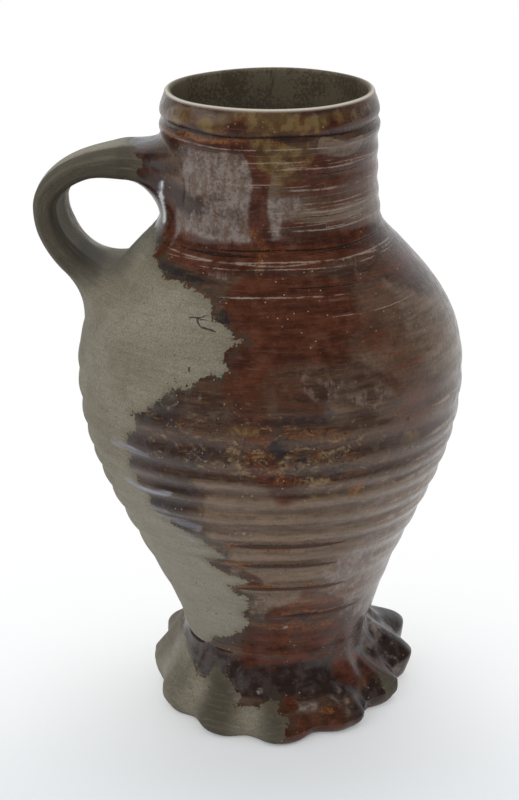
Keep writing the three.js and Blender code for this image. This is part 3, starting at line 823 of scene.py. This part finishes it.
class Surface(Nodes):
    """Builds one material's nodes. Lengths are in millimetres."""

    def __init__(self, name):
        self.material = bpy.data.materials.new(name)
        self.material.use_nodes = True
        super().__init__(self.material.node_tree)
        self.shader = self.tree.nodes["Principled BSDF"]
        self.place = self.vector("SCALE", self.node("TexCoord").outputs["Object"], {"Scale": 1 / MM})
        self.drag = self.node("Attribute", attribute_name="drag").outputs["Vector"]

    def vector(self, operation, first, inputs):
        return self.node("VectorMath", {0: first, **inputs}, operation=operation).outputs[0]

    def stretched(self, x, y, z):
        """The place on the object, with each axis scaled, for noise that is long one way."""
        return self.vector("MULTIPLY", self.place, {1: (x, y, z)})

    def mask(self, name):
        return self.node("Attribute", attribute_name=name).outputs["Fac"]

    def noise(self, size, detail=3.0, roughness=0.5, along=None, distortion=0.0):
        """Noise of 0 to 1, in patches of about this size."""
        inputs = {"Vector": self.place if along is None else along, "Scale": 1 / size, "Detail": detail,
                  "Roughness": roughness, "Distortion": distortion}
        return self.node("TexNoise", inputs).outputs["Fac"]

    def dots(self, size, radius):
        """Small round specks: 1 in their middle, 0 away from them."""
        cells = self.node("TexVoronoi", {"Vector": self.place, "Scale": 1 / size})
        return self.step(cells.outputs["Distance"], radius, radius * 0.4)

    def swing(self, noise, amount):
        """Noise about 0, by half of the amount to each side."""
        return self.times(self.add(noise, -0.5), amount)

    def ragged(self, name, noise, amount, low=0.35, high=0.6):
        """A painted mask whose edge is broken up by noise."""
        return self.step(self.add(self.mask(name), self.swing(noise, amount)), low, high)


def glaze_colour(s, large, medium, fine, streak, band, upright):
    """Brown glaze with tan bands and patches of purple, lilac bloom (partly a painted sheen), red, rust,
    crust and ochre, with a painted highlight on the ridges' crests and painted shade in their grooves.
    """
    relief, crust = s.mask("relief"), s.mask("crust")
    thread = s.noise(0.45, 2, 0.6, along=s.drag)
    crumb = s.noise(2.0, 4, 0.65, distortion=1.4)
    lilac = s.coats(
        s.tones(s.blend(0.5, fine, medium), 0.38, 0.62, (100, 86, 79), (135, 123, 117)),
        (s.step(upright, 0.5, 0.64), 0.5, (92, 64, 47)),
    )
    red = s.coats(
        s.tones(s.blend(0.5, band, medium), 0.36, 0.62, (54, 26, 16), (86, 42, 23)),
        (s.step(streak, 0.54, 0.7), 0.2, (112, 66, 40)),
        (s.step(fine, 0.55, 0.68), 0.4, (46, 28, 22)),
        (s.step(crumb, 0.48, 0.62), 0.4, (46, 28, 21)),
        (s.step(thread, 0.46, 0.34), 0.14, (120, 76, 50)),
    )
    smeared = s.noise(3.0, 4, 0.7, along=s.stretched(0.5, 0.5, 1), distortion=0.5)
    flecks = s.step(s.add(s.times(crust, 0.18), s.blend(0.65, crumb, smeared)), 0.66, 0.76)
    blots = s.step(s.add(s.times(crust, 0.2), s.noise(2.6, 4, 0.65, distortion=1.8)), 0.72, 0.82)
    specks = s.times(s.dots(2.6, 0.13), s.step(s.noise(12, 2), 0.46, 0.58))
    tan = s.tones(band, 0.36, 0.64, (97, 80, 66), (119, 100, 84))
    purple = s.tones(medium, 0.4, 0.62, (34, 24, 21), (56, 45, 44))
    rust = s.tones(fine, 0.4, 0.6, (88, 48, 22), (124, 78, 40))
    ochre = s.tones(medium, 0.4, 0.62, (86, 65, 37), (114, 94, 54))
    return s.coats(
        s.tones(band, 0.38, 0.62, (58, 40, 31), (80, 58, 44)),
        (s.ragged("tan", large, 0.8), 0.9, tan),
        (s.step(streak, 0.5, 0.68), 0.4, (46, 32, 25)),
        (s.step(thread, 0.5, 0.64), 0.2, (44, 31, 25)),
        (s.step(thread, 0.46, 0.34), 0.16, (124, 102, 84)),
        (s.step(medium, 0.5, 0.68), 0.3, (106, 86, 68)),
        (s.step(crumb, 0.5, 0.66), 0.35, (40, 28, 22)),
        # Painted highlight on the ridges' crests and painted shade in their grooves.
        (s.step(relief, 0.2, 1.0), 0.26, (120, 102, 86)),
        (s.step(relief, -0.2, -1.0), 0.32, (44, 30, 23)),
        (s.ragged("purple", medium, 1.1, 0.2, 0.85), 0.85, purple),
        (s.ragged("lilac", s.blend(0.5, medium, upright), 1.7, 0.4, 0.8), 0.85, lilac),
        (s.ragged("red", s.blend(0.5, large, band), 1.2, 0.2, 0.8), 0.92, red),
        (s.ragged("rust", s.blend(0.6, medium, streak), 2.2, 0.35, 1.0), 0.8, rust),
        (flecks, 0.65, s.tones(medium, 0.42, 0.56, (108, 68, 40), (132, 112, 80))),
        (blots, 0.75, (34, 26, 24)),
        (s.ragged("ochre", s.blend(0.5, medium, upright), 1.8, 0.1, 1.1), 0.75, ochre),
        (s.ragged("dark", s.blend(0.5, crumb, medium), 1.6, 0.3, 0.9), 0.85, (34, 29, 31)),
        (specks, 0.7, (166, 150, 120)),
    )


def clay_colour(s, large, medium, fine, streak):
    """Bare grey clay with grit, brush marks and specks, with painted light and painted shade from its shade
    mask and painted highlight streaks where that is highest, and a mask of its pin holes and cracks.
    """
    shade, grit = s.mask("shade"), s.noise(0.45, 2, 0.6)
    shine = s.times(s.step(shade, 0.4, 1.1), s.step(streak, 0.4, 0.6))
    holes = s.times(s.dots(2.4, 0.15), s.step(s.noise(9, 2), 0.42, 0.56))
    specks = s.times(s.dots(1.5, 0.17), s.step(s.noise(5, 2), 0.44, 0.56))
    crack, _ = drawn_line(s, "crack", fine)
    colour = s.coats(
        s.tones(large, 0.36, 0.64, (118, 111, 95), (130, 124, 108)),
        (s.step(medium, 0.48, 0.66), 0.4, (102, 96, 79)),
        (s.step(grit, 0.5, 0.64), 0.5, (86, 80, 62)),
        (s.step(grit, 0.47, 0.36), 0.35, (150, 146, 130)),
        (s.step(s.mask("purple"), 0.1, 0.9), 0.6, (80, 73, 68)),
        # Painted shade and painted light from the shade mask, with painted highlight streaks (shine) where it
        # is highest.
        (s.step(shade, 0.0, -0.9), 1, (62, 55, 43)),
        (s.step(shade, 0.0, 0.6), 0.8, (136, 132, 121)),
        (shine, 0.9, (226, 221, 212)),
        (s.step(streak, 0.52, 0.68), s.blend(s.step(shade, 0.0, -0.7), 0.18, 0.12), (144, 139, 126)),
        (s.step(streak, 0.48, 0.34), 0.12, (52, 45, 33)),
        (s.step(fine, 0.56, 0.66), 0.3, (92, 84, 68)),
        (specks, 0.5, (80, 72, 56)),
        (crack, 0.9, (34, 29, 24)),
        (holes, 0.8, (60, 54, 44)),
    )
    return colour, s.most(holes, crack)


def inner_colour(s, large, fine, streak):
    """The inside of the pot: dull olive with dark mottles, lighter near the lip, and a crack."""
    return s.coats(
        s.tones(s.blend(0.6, streak, large), 0.35, 0.65, (68, 58, 43), (86, 76, 58)),
        (s.mask("relief"), 0.7, (106, 97, 79)),
        (s.step(s.blend(0.5, large, fine), 0.44, 0.56), 0.6, (50, 41, 29)),
        (s.mask("dark"), 0.8, (36, 30, 24)),
    )


def drawn_line(s, kind, fine):
    """A line from its masks, and how far from its middle a place is, as a share of half its width."""
    offset = s.math("ABSOLUTE", s.add(s.mask(kind + "_offset"), s.swing(fine, 0.7)))
    half = s.mask(kind + "_half")
    width = s.math("DIVIDE", offset, s.most(half, 0.02))
    return s.times(s.math("LESS_THAN", 0.02, half), s.step(width, 1.6, 0.4)), width


GLAZE_ROUGHNESS, CLAY_ROUGHNESS, INNER_ROUGHNESS = (0.18, 0.32), 0.72, 0.6
GLAZE_IOR = 1.38

# How far the surface stands out or lies back: glaze, grain of the clay, bare clay, its holes, drawn lines.
PEEL, GRAIN, CLAY_BACK, HOLE_DEPTH, LINE_DEPTH = 0.06, 0.12, -0.12, -0.2, -0.15


def stoneware(name):
    """Brown and purple salt glaze over grey clay, which shows where the glaze stops."""
    s = Surface(name)
    large, medium, fine = s.noise(16, 3), s.noise(4, 4, 0.55), s.noise(1.0, 4, 0.6)
    streak = s.noise(1.1, 3, 0.6, along=s.drag)
    band = s.noise(2.6, 3, 0.55, along=s.drag)
    upright = s.noise(2.0, 4, 0.6, along=s.stretched(1, 1, 0.16))

    edge = s.add(s.mask("bare"), s.add(s.swing(medium, 5.0), s.swing(fine, 3.2)))
    bare, inside = s.step(edge, -0.2, 0.2), s.mask("inside")
    fringe = s.times(s.step(edge, -4.6, -0.4), s.step(s.blend(0.4, medium, fine), 0.42, 0.58))
    pale_and_gleam_line, _ = drawn_line(s, "pale_and_gleam", fine)
    broken = s.step(s.blend(0.5, streak, medium), 0.4, 0.56)
    line, width = drawn_line(s, "line", fine)
    glaze = s.coats(
        glaze_colour(s, large, medium, fine, streak, band, upright),
        (fringe, 0.85, (54, 49, 40)),
        # Pale lines: some are pale lines in the glaze, most are painted gleams on the ridges.
        (s.times(pale_and_gleam_line, broken), 0.7, (146, 132, 120)),
        (line, 0.85, s.tones(width, 1.5, 0.9, (118, 70, 34), (34, 17, 11))),
    )
    clay, holes = clay_colour(s, large, medium, fine, streak)
    clay = s.coats(clay, (s.step(edge, 3.0, 0.3), 0.3, (92, 82, 62)))
    # Pale specks and painted highlights: blue-grey, turning white where the mask passes 1, for the gleam
    # beside the handle's root.
    pale_and_gleam = s.tones(s.mask("pale_and_gleam"), 1.0, 1.4, (138, 141, 152), (224, 228, 226))
    # The lip's top: worn pale clay with a painted highlight, rough like the inside.
    worn_and_lit = s.times(s.mask("lip"), s.step(s.add(medium, s.times(fine, 0.5)), 0.28, 0.5))
    colour = s.coats(
        s.mix(bare, glaze, clay),
        (s.ragged("pale_and_gleam", streak, 1.2, 0.1, 1.0), 0.75, pale_and_gleam),
        (inside, 1, inner_colour(s, large, fine, streak)),
        (worn_and_lit, 0.95, (196, 188, 175)),
    )

    roughness = s.blend(s.step(medium, 0.35, 0.65), *GLAZE_ROUGHNESS)
    roughness = s.blend(bare, roughness, CLAY_ROUGHNESS)
    roughness = s.blend(s.most(inside, s.times(worn_and_lit, 0.8)), roughness, INNER_ROUGHNESS)

    peel = s.times(s.add(s.noise(0.9, 2, 0.5), s.times(s.noise(2.6, 2, 0.5), 1.2)), PEEL)
    grain = s.times(s.add(s.noise(0.5, 3, 0.7), s.times(streak, 1.5)), GRAIN)
    height = s.add(s.blend(bare, peel, grain), s.times(bare, CLAY_BACK))
    height = s.add(height, s.times(holes, s.times(bare, HOLE_DEPTH)))
    height = s.add(height, s.times(s.times(line, s.step(bare, 0.6, 0.1)), LINE_DEPTH))
    bump = s.node("Bump", {"Strength": 1.0, "Distance": MM, "Height": height})

    s.shader.inputs["IOR"].default_value = GLAZE_IOR
    s.link(colour, s.shader.inputs["Base Color"])
    s.link(roughness, s.shader.inputs["Roughness"])
    s.link(bump.outputs["Normal"], s.shader.inputs["Normal"])
    return s.material


# Floor, light and camera

FLOOR_HALF, FLOOR_GAP = 4.0, 0.0002
PAPER, PAPER_END = (247, 247, 247), (70, 70, 70)
SEEN_FRONT, SEEN_BACK, MIRRORED_FRONT = (230, 234, 237), (247, 250, 252), (105, 112, 120)


def studio_floor():
    """White paper that fades into the white room behind the jug, and ends in the dark beside the camera.

    A glossy or transmitted ray sees the same white as the camera, wherever the camera sees the floor.
    """
    mesh = bpy.data.meshes.new("studio_floor")
    corners = [(x * FLOOR_HALF, y * FLOOR_HALF, 0) for x, y in ((-1, -1), (1, -1), (1, 1), (-1, 1))]
    mesh.from_pydata(corners, [], [(0, 1, 2, 3)])
    floor = added("studio_floor", mesh)
    floor.location.z = -FLOOR_GAP
    s = Surface("white_paper")
    y = s.node("SeparateXYZ", {0: s.place}).outputs["Y"]
    distance = s.node("VectorMath", {0: s.place}, operation="LENGTH").outputs["Value"]
    rays = s.node("LightPath").outputs
    looked_at = s.most(rays["Is Camera Ray"], rays["Is Transmission Ray"])
    # Painted shade: the floor, as the camera sees it, is darker in front of the jug.
    seen = s.tones(y, -110, 10, SEEN_FRONT, SEEN_BACK)
    mirrored = s.tones(y, -260, -90, MIRRORED_FRONT, seen)
    paper = s.mix(rays["Is Glossy Ray"], s.tones(y, -700, -250, PAPER_END, PAPER), mirrored)
    s.link(s.mix(looked_at, paper, seen), s.shader.inputs["Base Color"])
    s.shader.inputs["Roughness"].default_value = 0.9
    s.shader.inputs["Specular IOR Level"].default_value = 0.1
    behind = s.step(y, -120, 160)
    far = s.times(s.most(behind, s.step(distance, 300, 700)), looked_at)
    far = s.most(far, s.times(behind, rays["Is Glossy Ray"]))
    faded = s.node("MixShader", {0: far, 1: s.shader.outputs[0], 2: s.node("Emission").outputs[0]})
    s.link(faded.outputs[0], s.tree.nodes["Material Output"].inputs["Surface"])
    mesh.materials.append(s.material)


WHITE = (255, 255, 255)
MIRRORED_TINT = (0.9, 0.96, 1.0)
ROOM_BACK, ROOM_FRONT = 0.42, 1.0
MIRRORED_DARK, MIRRORED_WHITE = 0.05, 1.0
SOFT_BOX, SOFT_BOX_LEVEL = (-0.93, -0.22, 0.26), 1.5


def studio_world():
    """A white room behind the jug, also where it is mirrored, and a dark camera's side with a soft box."""
    world = bpy.data.worlds.new("white_room")
    bpy.context.scene.world = world
    world.use_nodes = True
    s = Nodes(world.node_tree)
    direction = s.node("TexCoord").outputs["Generated"]
    rays = s.node("LightPath").outputs

    def facing(towards, start, end, dark, bright):
        """A level that rises as a direction turns towards a given one."""
        inputs = {0: direction, 1: unit(np.array(towards, float))}
        share = s.node("VectorMath", inputs, operation="DOT_PRODUCT").outputs["Value"]
        return s.step(share, start, end, dark, bright)

    room = facing((0, -0.75, 0.66), -0.6, 0.9, ROOM_BACK, ROOM_FRONT)
    mirrored = facing((0, 1, 0), 0.15, 0.95, MIRRORED_DARK, MIRRORED_WHITE)
    mirrored = s.add(mirrored, facing(SOFT_BOX, 0.94, 0.98, 0.0, SOFT_BOX_LEVEL))
    tinted = s.node("VectorMath", {0: MIRRORED_TINT, "Scale": mirrored}, operation="SCALE").outputs[0]
    colour = s.mix(rays["Is Glossy Ray"], room, tinted)
    colour = s.mix(rays["Is Transmission Ray"], colour, WHITE)
    s.link(s.mix(rays["Is Camera Ray"], colour, WHITE), s.tree.nodes["Background"].inputs["Color"])


LAMP_AIM = (0, 0, 0.1)


def soft_lamp(name, place, width, power):
    """A square lamp in metres and watts, aimed at the middle of the jug, that the glaze doesn't mirror."""
    data = bpy.data.lights.new(name, "AREA")
    data.shape, data.size, data.size_y, data.energy = "RECTANGLE", width, width, power
    lamp = added(name, data)
    lamp.location = place
    direction = np.array(LAMP_AIM, float) - np.array(place, float)
    lamp.rotation_euler = Vector(direction).to_track_quat("-Z", "Y").to_euler()
    lamp.visible_glossy = False


# The camera, fitted to the photograph's frame of 519 by 800: its place in metres and its angles in degrees.
CAMERA_LENS, CAMERA_SENSOR = 107.873, 36.0
CAMERA_PLACE = (0, -0.789617, 0.384584)
CAMERA_TURN, CAMERA_DOWN, CAMERA_ROLL = 0.31369, 19.208, -0.20303


def studio_camera():
    data = bpy.data.cameras.new("camera")
    data.lens, data.sensor_width, data.sensor_fit = CAMERA_LENS, CAMERA_SENSOR, "AUTO"
    data.clip_start, data.clip_end = 0.05, 50
    camera = added("camera", data)
    turn = Matrix.Rotation(math.radians(CAMERA_TURN), 4, "Z")
    tilt = Matrix.Rotation(math.radians(90 - CAMERA_DOWN), 4, "X")
    roll = Matrix.Rotation(math.radians(CAMERA_ROLL), 4, "Z")
    camera.matrix_world = Matrix.Translation(CAMERA_PLACE) @ turn @ tilt @ roll
    bpy.context.scene.camera = camera


bpy.context.scene.view_settings.view_transform = "Standard"
studio_camera()
studio_world()
studio_floor()
soft_lamp("front_fill", (-0.9, -1.3, 0.9), 1.2, 4)
soft_lamp("top_light", (0, 0.35, 1.45), 0.9, 6)

for make, node, slot in (
    (thrown_pot, "thrown_body", "washed_stoneware"),
    (strap_handle, "strap_handle", "bare_stoneware"),
    (kneaded_foot, "kneaded_foot", "foot_stoneware"),
):
    piece = make()
    piece.data.materials.append(stoneware(slot))
    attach(piece, "root")
    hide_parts(node)
